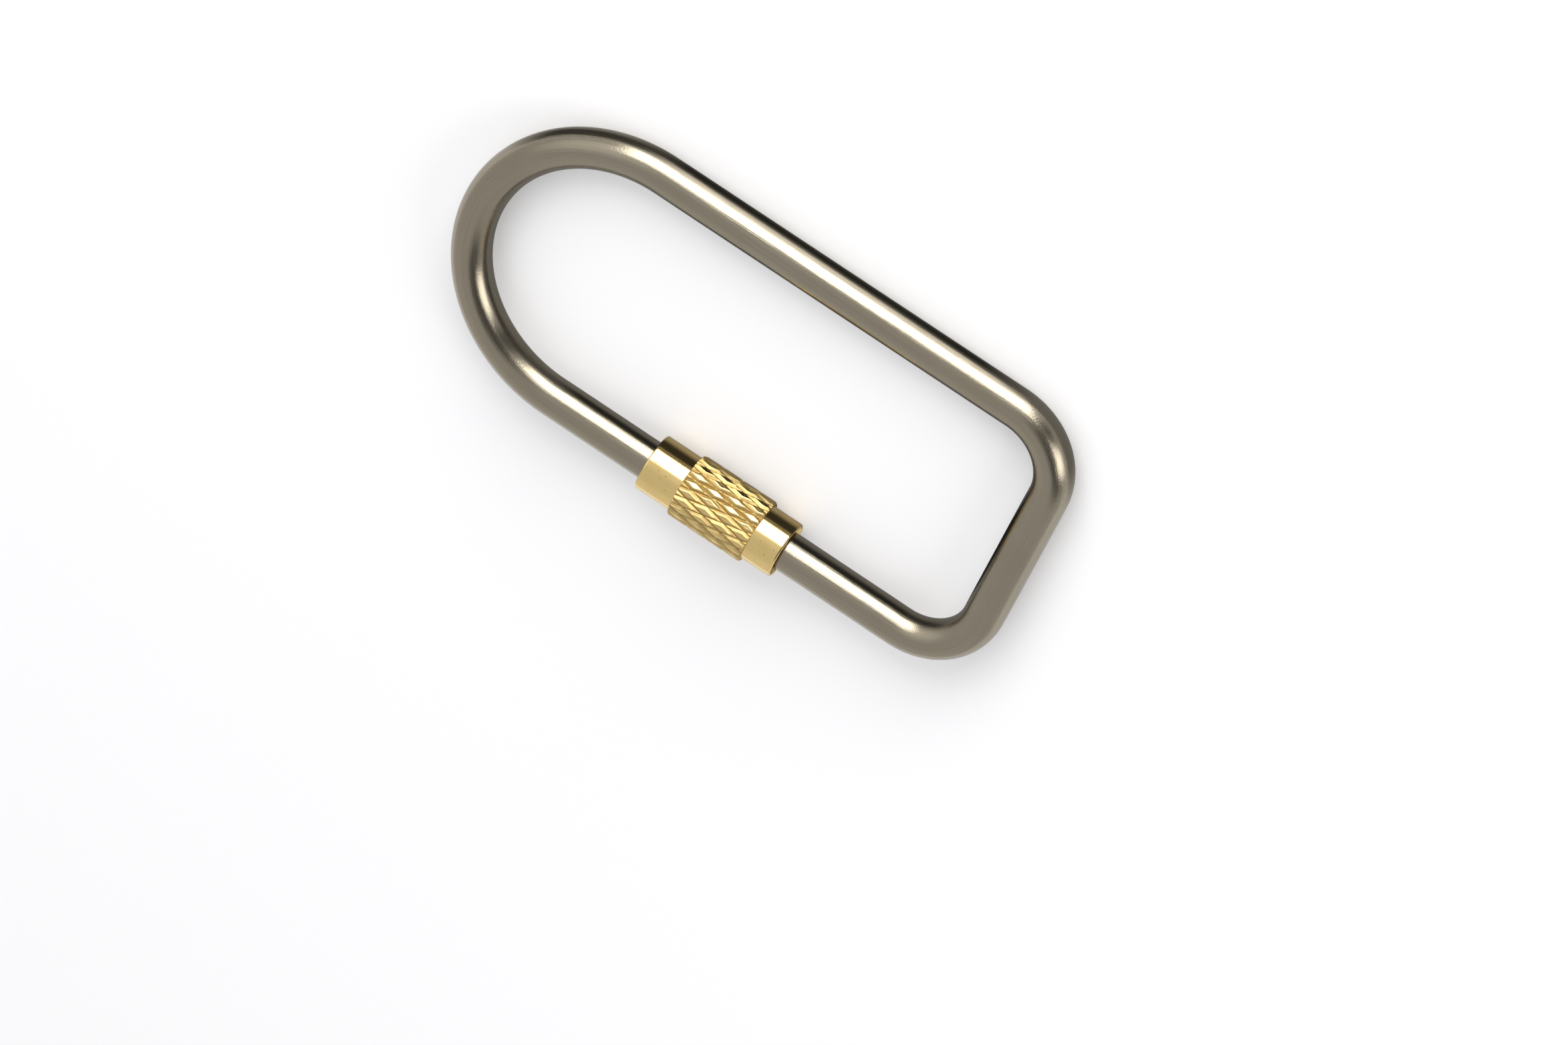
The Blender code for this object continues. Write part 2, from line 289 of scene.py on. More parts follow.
def wire_mesh():
    """The wire's skin: a ring at each station, and a flat face on each riveted end."""
    strain = soft_strain([station[4] for station in stations])
    points, lay, strains = [], [], []
    for (distance, x, y, heading, _, radius), bent in zip(stations, strain):
        side = Vector((-math.sin(heading), math.cos(heading), 0))
        for across, up in circle(radius):
            squeeze = 1 - OVAL_SHARE * bent
            spot = Vector((x, y, 0)) + side * across * squeeze + Vector((0, 0, up))
            points.append(spot)
            lay.append((distance, across, up))
            strains.append(bent)
    faces = ring_faces(len(stations), closed=False)
    last = (len(stations) - 1) * RING_SIDES
    faces.append(tuple(reversed(range(RING_SIDES))))
    faces.append(tuple(range(last, last + RING_SIDES)))
    mesh = bpy.data.meshes.new("bent_wire")
    mesh.from_pydata(points, [], faces)
    keep_lay(mesh, lay, strains)
    return mesh


bent_wire = add_piece("bent_wire", wire_mesh(), loop_place)

# %% [markdown]
# ## Threads
#
# A screw thread is a ridge that winds round a wall. A Screw modifier could wind a section
# round the axis, but it ends the ridge square. The real tool leaves it gradually. So the
# section is carried round here step by step, and its height fades over the first and last
# quarter turn. The ridge's foot is sunk a little into the wall, so that no gap shows.

# %% A thread ridge
THREAD_STEPS = 96      # round each turn
FADE_TURNS = 0.25
FOOT_DEPTH = 0.00004
# Half of the ridge's section: out from its middle, share of its height, depth in the wall
HALF_RIDGE = [(THREAD_BASE_WIDTH / 2, 0, FOOT_DEPTH), (THREAD_BASE_WIDTH / 2, 0, 0),
              (THREAD_CREST_WIDTH / 2, 0.925, 0), (THREAD_CREST_WIDTH / 4, 1, 0)]
RIDGE = [(-off, share, deep) for off, share, deep in HALF_RIDGE] + HALF_RIDGE[::-1]


def add_ridge(mesh, wall_r, crest_r, start, turns):
    """Adds a right-handed ridge to a mesh, between a wall and a crest radius."""
    way = 1 if crest_r > wall_r else -1
    bm = bmesh.new()
    bm.from_mesh(mesh)
    lay = bm.verts.layers.float_vector["lay"]
    count = int(turns * THREAD_STEPS)
    rows = []
    for k in range(count + 1):
        turn = k / THREAD_STEPS
        fade = min(1, turn / FADE_TURNS, (turns - turn) / FADE_TURNS)
        height = (crest_r - wall_r) * math.sin(fade * math.pi / 2)
        along = start + THREAD_PITCH * turn
        angle = 2 * math.pi * turn
        row = []
        for shift, share, deep in RIDGE:
            radius = wall_r + height * share - way * deep
            vert = bm.verts.new((along + shift, radius * math.cos(angle),
                                 radius * math.sin(angle)))
            vert[lay] = vert.co
            row.append(vert)
        rows.append(row)
    new_faces = [bm.faces.new(rows[0]), bm.faces.new(rows[-1])]
    for low, high in zip(rows, rows[1:]):
        for i in range(len(low)):
            j = (i + 1) % len(low)
            new_faces.append(bm.faces.new((low[i], low[j], high[j], high[i])))
    bmesh.ops.recalc_face_normals(bm, faces=new_faces)
    bm.to_mesh(mesh)
    bm.free()
    print(mesh.name, "has a thread of", turns, "turns")


# %% [markdown]
# ## What is on the two wire ends
#
# On one spigot sits the threaded tip that the sleeve screws onto. On the other turns a loose
# stop ring: it is wider than the bore at the sleeve's plain end, so the sleeve can't come
# off, and it takes the pull when the sleeve is tightened. Both are small turned parts with
# broken edges, and both show only when the sleeve is run back. A cylinder with a bevel could
# stand for each, but stacked rings give the exact section, and `lay` with it.

# %% Stop ring
SMALL_EDGE = 0.00010


def bushing(low, length, outer_r):
    """Closed section of a turned ring with chamfered edges, that fits on a spigot."""
    high, edge, inner_r = low + length, SMALL_EDGE, INNER_BORE_RADIUS
    return [(low, inner_r + edge / 2), (low, outer_r - edge), (low + edge, outer_r),
            (high - edge, outer_r), (high, outer_r - edge), (high, inner_r + edge / 2),
            (high - edge / 2, inner_r), (low + edge / 2, inner_r)]


ring_section = bushing(ring_x - SLEEVE_START, RING_LENGTH, RING_RADIUS)
stop_ring = add_piece("loose_stop_ring", turned_mesh("loose_stop_ring", ring_section),
                      sleeve_place)

# %% Threaded tip
TIP_TURNS = 4
THREAD_MARGIN = 0.00005

tip_low = tip_low_x - SLEEVE_START
tip_mesh = turned_mesh("screw_tip", bushing(tip_low, TIP_LENGTH, TIP_ROOT_RADIUS))
tip_thread_start = tip_low + THREAD_MARGIN + THREAD_BASE_WIDTH / 2
add_ridge(tip_mesh, TIP_ROOT_RADIUS, TIP_CREST_RADIUS, tip_thread_start, TIP_TURNS)
screw_tip = add_piece("screw_tip", tip_mesh, sleeve_place)

# %% [markdown]
# ## The knurl
#
# The grip is a double knurl: two families of twenty V grooves that lean opposite ways and
# cross, with flat-topped diamonds left between them. Cutting forty grooves with Booleans
# works, and the CAD model does it. Here the sheet is laid out on the grooves themselves.
# Its two directions follow the two families, so the edge and the root of every groove is a
# line of the mesh, crisp with few faces. No two grooves of a real knurl are pressed alike,
# so each has its own depth, and the metal stands up in a slight lip beside it.

# %% The shape of one groove
KNURL_STARTS = 20
KNURL_ANGLE = math.radians(13.9)
KNURL_SHIFT = 0.0007           # where the pattern starts, along the sleeve
GROOVE_SHARES = {1: 0.56, -1: 0.60}   # of the spacing between grooves, the rest left as tops
DEPTH_PER_SHARE = 0.00034
DEPTH_SPREAD_SHARE = 0.16
# A groove's wall: how far out from its root, by half its width, and how much of its depth
WALL = [(0, 1), (0.07, 0.97), (0.42, 0.56), (0.58, 0.47), (0.93, 0.05), (1, 0)]
LIP_OFF = (1.0, 1.1, 1.25)     # the lip's start, crest and end, by half the groove's width
LIP_HEIGHT = 0.000006
KNURL_EDGE = 0.00010
DRIFT_SHARE = 0.012            # how far a groove wanders, by the spacing
DRIFT_WAVES = (700, 3)         # how fast it wanders, along and round
PRESS_NOISE = 0.0000015
PRESS_WAVES = (5000, 9)
FAMILIES_APART = 9             # keeps the two families' noise unlike
KNURL_SEED = 4

random.seed(KNURL_SEED)
groove_depths = {way: [share * DEPTH_PER_SHARE * (1 - DEPTH_SPREAD_SHARE * random.random())
                       for _ in range(KNURL_STARTS)] for way, share in GROOVE_SHARES.items()}
groove_depth = max(max(depths) for depths in groove_depths.values())
knurl_twist = math.tan(KNURL_ANGLE) / KNURL_RADIUS
print("deepest groove: %.2f mm" % (groove_depth * 1000))


def groove_place(angle, along, way):
    """Where a point lies across one family of grooves. Whole numbers are groove roots."""
    return KNURL_STARTS * (angle + way * knurl_twist * (along - KNURL_SHIFT)) / (2 * math.pi)


def groove_cut(angle, along, way):
    """How deep one family of grooves is cut at a point, and how far its lip stands up."""
    drift = Vector((along * DRIFT_WAVES[0], FAMILIES_APART * way, angle * DRIFT_WAVES[1]))
    place = groove_place(angle, along, way) + DRIFT_SHARE * noise.noise(drift)
    root = round(place)
    off = abs(place - root) / (GROOVE_SHARES[way] / 2)
    depth = groove_depths[way][root % KNURL_STARTS] * np.interp(off, *zip(*WALL))
    return depth, LIP_HEIGHT * np.interp(off, LIP_OFF, (0, 1, 0))


def knurl_surface(angle, along):
    """The radius of the knurled band at a point."""
    cuts = [groove_cut(angle, along, way) for way in (1, -1)]
    deep = max(cut for cut, _ in cuts)
    lip = max(lip for _, lip in cuts) if deep < LIP_HEIGHT else 0
    rough = Vector((along * PRESS_WAVES[0], math.cos(angle) * PRESS_WAVES[1],
                    math.sin(angle) * PRESS_WAVES[1]))
    radius = KNURL_RADIUS - LIP_HEIGHT - deep + lip + PRESS_NOISE * noise.noise(rough)
    to_end = min(along - knurl_low, knurl_high - along)
    return min(radius, KNURL_RADIUS - KNURL_EDGE + max(0, to_end))


# %% The knurled sheet
BAND_MARGIN_CELLS = 0.3
CUT_REACH = 1e-9               # how near a point counts as on the cut


def groove_knots(way):
    """Where mesh lines fall between one groove's root, at 0, and the next, at 1."""
    rise = [off * GROOVE_SHARES[way] / 2 for off in [off for off, _ in WALL] + [*LIP_OFF[1:]]]
    return [*rise, 0.5, *(1 - knot for knot in reversed(rise[1:]))]


knots = {way: groove_knots(way) for way in GROOVE_SHARES}


def sheet_point(u, v):
    """The spot where two mesh lines cross, as an angle and a distance along."""
    angle = math.pi * (u + v) / KNURL_STARTS
    along = math.pi * (u - v) / KNURL_STARTS / knurl_twist
    return angle, along + KNURL_SHIFT


def knurled_sheet():
    """A tube of mesh laid out along both families of grooves, a little longer than the band."""
    bm = bmesh.new()
    per_cell = len(knots[1])
    around = per_cell * KNURL_STARTS
    low, high = (KNURL_STARTS * knurl_twist * (end - KNURL_SHIFT) / math.pi + margin
                 for end, margin in ((knurl_low, -BAND_MARGIN_CELLS),
                                     (knurl_high, BAND_MARGIN_CELLS)))
    verts = {}

    def knot(index, way):
        return index // per_cell + knots[way][index % per_cell]

    def vert(a, b):
        laps = a // around
        key = (a - laps * around, b - laps * around)
        if key not in verts:
            angle, along = sheet_point(knot(key[0], 1), knot(key[1], -1))
            verts[key] = bm.verts.new((along, KNURL_RADIUS * math.cos(angle),
                                       KNURL_RADIUS * math.sin(angle)))
        return verts[key]

    for a in range(around):
        first = math.floor((knot(a, 1) - high) * per_cell)
        for b in range(first, math.ceil((knot(a + 1, 1) - low) * per_cell)):
            if low < knot(a, 1) - knot(b, -1) < high:
                bm.faces.new((vert(a, b), vert(a + 1, b), vert(a + 1, b + 1), vert(a, b + 1)))
    return bm


def cut_square(bm):
    """Trims the sheet square at the band's two ends, and adds lines for the chamfers."""
    for along, trim in ((knurl_low + KNURL_EDGE, False), (knurl_high - KNURL_EDGE, False),
                        (knurl_low, 'below'), (knurl_high, 'above')):
        bmesh.ops.bisect_plane(
            bm, geom=[*bm.verts, *bm.edges, *bm.faces], dist=CUT_REACH,
            plane_co=(along, 0, 0), plane_no=(1, 0, 0),
            clear_inner=trim == 'below', clear_outer=trim == 'above')


sheet = knurled_sheet()
cut_square(sheet)
for vert in sheet.verts:
    angle = math.atan2(vert.co.z, vert.co.y)
    radius = knurl_surface(angle, vert.co.x)
    vert.co.y, vert.co.z = radius * math.cos(angle), radius * math.sin(angle)
print("knurled sheet:", len(sheet.faces), "faces")

# %% [markdown]
# ## The rest of the sleeve
#
# The sleeve is one turned piece. Three tubes pushed together would look like it, with seams
# where they meet. Instead the knurled sheet's two open rims are carried on, ring by ring:
# down the step to each collar, over the broken edge, round the end face and through the
# bore, until they meet on the flat plain end.

# %% Carrying a rim along a turned profile
COLLAR_EDGE = 0.00012
COLLAR_KNEE = (COLLAR_EDGE / 3, COLLAR_EDGE / 4)   # how far along and down the edge turns
MOUTH_DROP = COLLAR_EDGE * 0.7  # how far the edge comes down at the mouth
BORE_EDGE = 0.00010
STEP_ROUND = 0.00004
RIM_REACH = KNURL_EDGE / 10    # how near an end an open edge counts as its rim
HOLD = 0.00002                 # a line just short of an edge, so that its shading stays there

mouth_profile = [
    (knurl_high, COLLAR_RADIUS + STEP_ROUND), (knurl_high + STEP_ROUND, COLLAR_RADIUS),
    (sleeve_length - COLLAR_EDGE - HOLD, COLLAR_RADIUS),
    (sleeve_length - COLLAR_EDGE, COLLAR_RADIUS),
    (sleeve_length - COLLAR_KNEE[0], COLLAR_RADIUS - COLLAR_KNEE[1]),
    (sleeve_length, COLLAR_RADIUS - MOUTH_DROP),
    (sleeve_length, CHAMBER_RADIUS + BORE_EDGE / 2),
    (sleeve_length - BORE_EDGE, CHAMBER_RADIUS), (SHOULDER_LENGTH, CHAMBER_RADIUS),
    (SHOULDER_LENGTH, BORE_RADIUS), (BORE_EDGE, BORE_RADIUS), (0, BORE_RADIUS + BORE_EDGE)]
plain_profile = [
    (knurl_low, COLLAR_RADIUS + STEP_ROUND), (knurl_low - STEP_ROUND, COLLAR_RADIUS),
    (COLLAR_EDGE + HOLD, COLLAR_RADIUS), (COLLAR_EDGE, COLLAR_RADIUS),
    (COLLAR_KNEE[0], COLLAR_RADIUS - COLLAR_KNEE[1]), (0, COLLAR_RADIUS - COLLAR_EDGE)]


def carry_rim(bm, rim, profile):
    """Extrudes a rim of edges through (along, radius) points, and returns the last rim."""
    for along, radius in profile:
        grown = bmesh.ops.extrude_edge_only(bm, edges=rim)["geom"]
        rim = [item for item in grown if isinstance(item, bmesh.types.BMEdge)]
        for item in grown:
            if isinstance(item, bmesh.types.BMVert):
                angle = math.atan2(item.co.z, item.co.y)
                item.co = (along, radius * math.cos(angle), radius * math.sin(angle))
    return rim


def open_rim(bm, along):
    """The open edges at one end of the band."""
    return [edge for edge in bm.edges if edge.is_boundary
            and abs((edge.verts[0].co.x + edge.verts[1].co.x) / 2 - along) < RIM_REACH]


mouth_rim = carry_rim(sheet, open_rim(sheet, knurl_high), mouth_profile)
plain_rim = carry_rim(sheet, open_rim(sheet, knurl_low), plain_profile)
bmesh.ops.bridge_loops(sheet, edges=mouth_rim + plain_rim)
bmesh.ops.recalc_face_normals(sheet, faces=sheet.faces)
print("open edges left:", sum(edge.is_boundary for edge in sheet.edges))

# %% [markdown]
# The tool that extrudes leaves its points and faces in a chance order. The shape is the
# same on every run, but the order of its points and faces would not be. Building each ring
# one by one, as for the wire, would keep the order, but sorting the finished sleeve takes less
# code.

# %% The same order on every run


def settle_order(items, key):
    """Sorts points or faces by a list or tuple, where Blender's own sort needs one number."""
    ranks = {item: rank for rank, item in enumerate(sorted(items, key=key))}
    items.sort(key=ranks.get)


settle_order(sheet.verts, lambda vert: tuple(vert.co))
sheet.verts.index_update()
settle_order(sheet.faces, lambda face: sorted(vert.index for vert in face.verts))
print("sorted:", len(sheet.verts), "points and", len(sheet.faces), "faces")

# %% The sleeve's mesh and its inner thread
SLEEVE_TURNS = 5

sleeve_mesh = bpy.data.meshes.new("brass_sleeve")
lay_layer = sheet.verts.layers.float_vector.new("lay")
for vert in sheet.verts:
    vert[lay_layer] = vert.co
sheet.to_mesh(sleeve_mesh)
sheet.free()
add_ridge(sleeve_mesh, CHAMBER_RADIUS, CHAMBER_RADIUS - THREAD_HEIGHT,
          tip_thread_start - THREAD_PITCH / 2, SLEEVE_TURNS)
brass_sleeve = add_piece("brass_sleeve", sleeve_mesh, sleeve_place)

# %% [markdown]
# ## Finishes
#
# Three effects are used by more than one metal, so each is a shader node group, built once
# and placed in each material with its own values. Fine lines are what the drawing die or
# the lathe tool leaves. Wear is a slow change from patch to patch. Root shade is a mask for
# painted shade, which darkens the roots of grooves and threads. Pictures wrapped round the
# pieces could show all three, but would stretch at the bends and end in seams. The groups
# read `lay`, the place in the straight bar, instead.

# %% Adding nodes


def put(tree, kind, fields=None, **inputs):
    """Adds a node. Inputs go by name, or by number as in _0, and are values or sockets."""
    node = tree.nodes.new("ShaderNode" + kind)
    for field, value in (fields or {}).items():
        setattr(node, field, value)
    for name, value in inputs.items():
        number = name[1:]
        socket = node.inputs[int(number) if number.isdigit() else name.replace("_", " ")]
        if isinstance(value, bpy.types.NodeSocket):
            tree.links.new(value, socket)
        else:
            socket.default_value = value
    return node


def calc(tree, operation, *values):
    """A Math node, as its output socket."""
    numbered = {"_%d" % i: value for i, value in enumerate(values)}
    return put(tree, "Math", {"operation": operation}, **numbered).outputs[0]


def remap(tree, value, low=0.0, high=1.0, start=0.0, end=1.0):
    """Turns what runs from start to end into what runs from low to high."""
    return put(tree, "MapRange", Value=value, From_Min=start, From_Max=end,
               To_Min=low, To_Max=high).outputs[0]


# %% Making a group
VECTOR, FLOAT = 'NodeSocketVector', 'NodeSocketFloat'


def new_group(name, inputs, output):
    """An empty shader group with named inputs (socket type, default) and one float output."""
    tree = bpy.data.node_groups.new(name, 'ShaderNodeTree')
    for label, (kind, default) in inputs.items():
        socket = tree.interface.new_socket(label, in_out='INPUT', socket_type=kind)
        if default is not None:
            socket.default_value = default
    tree.interface.new_socket(output, in_out='OUTPUT', socket_type=FLOAT)
    given = tree.nodes.new("NodeGroupInput").outputs
    return tree, given, tree.nodes.new("NodeGroupOutput").inputs[output]


def finish_group(tree, socket, result):
    """Links a group's last node to its output."""
    tree.links.new(socket, result)
    print("group %s: %d nodes" % (tree.name, len(tree.nodes)))


# %% Fine lines
lines_tree, given, result = new_group(
    "fine_lines", {"Lay": (VECTOR, None), "Along": (FLOAT, 1000), "Across": (FLOAT, 1000)},
    "Height")
spread = put(lines_tree, "CombineXYZ", X=given["Along"], Y=given["Across"], Z=given["Across"])
scaled = put(lines_tree, "VectorMath", {"operation": 'MULTIPLY'}, _0=given["Lay"],
             _1=spread.outputs[0])
grain = put(lines_tree, "TexNoise", Vector=scaled.outputs[0], Scale=1.0, Detail=4.0,
            Roughness=0.65)
finish_group(lines_tree, grain.outputs["Fac"], result)

# %% Wear
FULLY_WORN = 0.85              # where the noise counts as wholly worn

wear_tree, given, result = new_group(
    "wear", {"Lay": (VECTOR, None), "Scale": (FLOAT, 400), "Share": (FLOAT, 0.5)}, "Amount")
cloud = put(wear_tree, "TexNoise", Vector=given["Lay"], Scale=given["Scale"], Detail=5.0,
            Roughness=0.6)
start = calc(wear_tree, 'SUBTRACT', 1.0, given["Share"])
amount = remap(wear_tree, cloud.outputs["Fac"], start=start, end=FULLY_WORN)
finish_group(wear_tree, amount, result)

# %% Root shade
# A mask for painted shade: 0 at the crest of a groove or thread, 1 at its root
root_tree, given, result = new_group(
    "root_shade", {"Lay": (VECTOR, None), "Root": (FLOAT, 0.0023), "Crest": (FLOAT, 0.0025)},
    "Depth")
flat = put(root_tree, "VectorMath", {"operation": 'MULTIPLY'}, _0=given["Lay"],
           _1=(0.0, 1.0, 1.0))
reach = put(root_tree, "VectorMath", {"operation": 'LENGTH'}, _0=flat.outputs[0])
depth = remap(root_tree, reach.outputs["Value"], start=given["Crest"], end=given["Root"])
finish_group(root_tree, depth, result)

# %% [markdown]
# A fourth group is for the knurl alone. The wheel that pressed it dragged fine lines along
# each groove. One noise for the whole band would run the same way everywhere. The group
# works out which of the two families lies nearest, and draws its lines along that one.

# %% Press marks
MARKS_ACROSS = 9.0             # lines in each spacing
MARKS_ALONG = 260.0
MARKS_APART = 5.0              # keeps the two families' lines unlike

marks_tree, given, result = new_group("press_marks", {"Lay": (VECTOR, None)}, "Height")
spot = put(marks_tree, "SeparateXYZ", Vector=given["Lay"]).outputs
angle = calc(marks_tree, 'ARCTAN2', spot["Z"], spot["Y"])
nearness, heights = [], []     # nearness is 0 on a groove's root and 0.5 between two
for way in (1, -1):
    twisted = calc(marks_tree, 'MULTIPLY_ADD', spot["X"], way * knurl_twist, angle)
    place = calc(marks_tree, 'MULTIPLY_ADD', twisted, KNURL_STARTS / (2 * math.pi),
                 -way * KNURL_STARTS * knurl_twist * KNURL_SHIFT / (2 * math.pi))
    nearness.append(calc(marks_tree, 'PINGPONG', place, 0.5))
    drawn_out = put(marks_tree, "CombineXYZ", Y=MARKS_APART * way,
                    X=calc(marks_tree, 'MULTIPLY', place, MARKS_ACROSS),
                    Z=calc(marks_tree, 'MULTIPLY', spot["X"], MARKS_ALONG))
    heights.append(put(marks_tree, "TexNoise", Vector=drawn_out.outputs[0], Scale=1.0,
                       Detail=2.0).outputs["Fac"])
second = calc(marks_tree, 'GREATER_THAN', nearness[0], nearness[1])
picked = put(marks_tree, "Mix", Factor=second, A=heights[0], B=heights[1])
finish_group(marks_tree, picked.outputs[0], result)

# %% Material helpers


def new_metal(name):
    """A new material, its tree, and the place in the bar as a socket."""
    metal = bpy.data.materials.new(name)
    metal.use_nodes = True
    lay = put(metal.node_tree, "Attribute", {"attribute_name": "lay"}).outputs["Vector"]
    return metal, metal.node_tree, lay


def finish_metal(metal, colour, roughness, normal):
    """Links what changes over the surface to the metal's shader."""
    tree = metal.node_tree
    shader = tree.nodes["Principled BSDF"]
    shader.inputs["Metallic"].default_value = 1.0
    for name, socket in (("Base Color", colour), ("Roughness", roughness), ("Normal", normal)):
        tree.links.new(socket, shader.inputs[name])
    print("material %s: %d nodes" % (metal.name, len(tree.nodes)))


def use_group(tree, group, **inputs):
    """Places a group with its own values, and returns its output socket."""
    return put(tree, "Group", {"node_tree": group}, **inputs).outputs[0]


def blend_colours(tree, share, *ends):
    """Mixes two colours, given as values or sockets. A Mix node takes them in 6 and 7."""
    low, high = (end if isinstance(end, bpy.types.NodeSocket) else (*end, 1.0) for end in ends)
    return put(tree, "Mix", {"data_type": 'RGBA'}, Factor=share, _6=low, _7=high).outputs[2]


def bump(tree, height, distance, normal=None):
    """A bump of so many metres, over another if one is given."""
    under = {} if normal is None else {"Normal": normal}
    return put(tree, "Bump", Height=height, Distance=distance, **under).outputs["Normal"]


# %% [markdown]
# ### Satin nickel on the wire
#
# The wire is nickel plated over a drawn surface. Faint lines run along it and soften the
# edges of what it reflects. A fine orange-peel grain lies under the plating, strongest at
# the corners, where the metal was bent hardest. A plain rough metal would blur the
# reflections evenly, which looks like plastic. So noise drawn out along `lay` makes the
# lines, and the strain that the mesh carries brings up the grain.

# %% Satin nickel
NICKEL = (0.365, 0.325, 0.25)
NICKEL_STREAK = (0.335, 0.296, 0.223)
NICKEL_WORN = (0.32, 0.275, 0.195)
STREAK_START, STREAK_END = 0.35, 0.65   # heights of the lines, from streak to plain nickel
NICKEL_WORN_SHARE = 0.5
PEEL_AT_REST = 0.55            # of the grain at the tightest corner, where the wire is straight
DRAWN_ROUGHNESS = (0.06, 0.26)
BENT_ROUGHNESS = 0.06          # how much rougher it is at the tightest corner
DRAWN_HEIGHT = 0.000010
PEEL_HEIGHT = 0.000010

nickel, tree, lay = new_metal("satin_nickel")
lines = use_group(tree, lines_tree, Lay=lay, Along=90.0, Across=9000.0)
patches = use_group(tree, wear_tree, Lay=lay, Scale=260.0, Share=0.55)
strain = put(tree, "Attribute", {"attribute_name": "strain"}).outputs["Fac"]
peel = calc(tree, 'MULTIPLY', remap(tree, strain, low=PEEL_AT_REST),
            put(tree, "TexNoise", Vector=lay, Scale=10000.0, Detail=3.0).outputs["Fac"])
streaks = remap(tree, lines, start=STREAK_START, end=STREAK_END)
drawn = blend_colours(tree, streaks, NICKEL_STREAK, NICKEL)
worn = blend_colours(tree, remap(tree, patches, high=NICKEL_WORN_SHARE), drawn, NICKEL_WORN)
even = remap(tree, lines, *DRAWN_ROUGHNESS)
finish_metal(nickel, worn, calc(tree, 'MULTIPLY_ADD', strain, BENT_ROUGHNESS, even),
             bump(tree, peel, PEEL_HEIGHT, bump(tree, lines, DRAWN_HEIGHT)))

# %% [markdown]
# ### Polished brass on the sleeve
#
# The collars are polished over fine turning lines, so they mirror the room in bands with
# slightly ragged edges. The knurl was pressed, and is duller in its grooves, where polish
# stays, and it is darker towards the groove roots: that is painted shade. A few small pits
# are scattered over the collars. Collars and knurl could be two materials, but they are one
# piece of brass, so one material tells them apart by masks.

# %% The brass's masks: grooves, painted groove shade and pits
GROOVE_SHADE_SHARES = (0.15, 0.95)     # at a groove's lip and at its root
GROOVE_SHADE_START = 0.1               # of the deepest groove
PITS_PER_METRE = 2600.0
PIT_REACH = 0.12               # of the spacing between them
PIT_CHANCE = 0.50

brass, tree, lay = new_metal("polished_brass")
along = put(tree, "SeparateXYZ", Vector=lay).outputs["X"]
from_middle = calc(tree, 'SUBTRACT', along, (knurl_low + knurl_high) / 2)
on_knurl = remap(tree, calc(tree, 'ABSOLUTE', from_middle),
                 start=KNURL_LENGTH / 2 + STEP_ROUND, end=KNURL_LENGTH / 2)
root = use_group(tree, root_tree, Lay=lay, Root=KNURL_RADIUS - groove_depth,
                 Crest=KNURL_RADIUS)
in_groove = calc(tree, 'MULTIPLY', root, on_knurl)
# Painted shade: the knurl's grooves darken towards their roots
groove_shade = calc(tree, 'MULTIPLY', remap(tree, in_groove, *GROOVE_SHADE_SHARES, start=GROOVE_SHADE_START), on_knurl)
pit = put(tree, "TexVoronoi", Vector=lay, Scale=PITS_PER_METRE).outputs
chance = put(tree, "SeparateColor", Color=pit["Color"]).outputs["Red"]
pits = calc(tree, 'MULTIPLY', calc(tree, 'LESS_THAN', pit["Distance"], PIT_REACH),
            calc(tree, 'GREATER_THAN', chance, 1 - PIT_CHANCE))
print("spacing of the pits: %.2f mm" % (1000 / PITS_PER_METRE))

# %% Polished brass
BRASS = (0.88, 0.655, 0.28)
BRASS_WARM = (0.82, 0.58, 0.21)
# The dark of the pits, also used for the painted shade in the groove roots
BRASS_PIT_AND_SHADE = (0.36, 0.25, 0.09)
DULL_DEPTH = 0.15              # of the deepest groove, from where the metal is fully dull
BRASS_ROUGHNESS = (0.14, 0.42)
TURNING_HEIGHT = 0.0000025
SCUFF_HEIGHT = 0.000002
MARKS_HEIGHT = 0.00003

turning = use_group(tree, lines_tree, Lay=lay, Along=14000.0, Across=160.0)
scuffs = use_group(tree, lines_tree, Lay=lay, Along=500.0, Across=7000.0)
patches = use_group(tree, wear_tree, Lay=lay, Scale=500.0, Share=0.5)
plain = blend_colours(tree, patches, BRASS, BRASS_WARM)
# Painted shade in the groove roots; the pits then get their own dark
groove_shaded = blend_colours(tree, groove_shade, plain, BRASS_PIT_AND_SHADE)
dull = remap(tree, in_groove, end=DULL_DEPTH)
marks = calc(tree, 'MULTIPLY', dull, use_group(tree, marks_tree, Lay=lay))
polish = bump(tree, scuffs, SCUFF_HEIGHT, bump(tree, turning, TURNING_HEIGHT))
finish_metal(brass, blend_colours(tree, pits, groove_shaded, BRASS_PIT_AND_SHADE),
             remap(tree, dull, *BRASS_ROUGHNESS), bump(tree, marks, MARKS_HEIGHT, polish))

# %% [markdown]
# ### Turned steel inside
#
# The tip and the ring are plain turned steel, never plated or polished. Turning lines are
# strong on both. Both are darker towards their roots, in the tip's thread and towards the
# ring's bore: that is painted shade. One material could serve both. But their roots and
# crests lie at other radii, and the ring is duller, so a function makes one for each.

# %% Turned steels
STEEL_WORN_SHARE = 0.4
# STEEL_ROOT_SHARE is how far the painted root shade darkens
STEEL_ROOT_SHARE = 0.6
STEEL_SPREAD = (-0.08, 0.1)    # of the roughness, from line to line
STEEL_HEIGHT = 0.000004


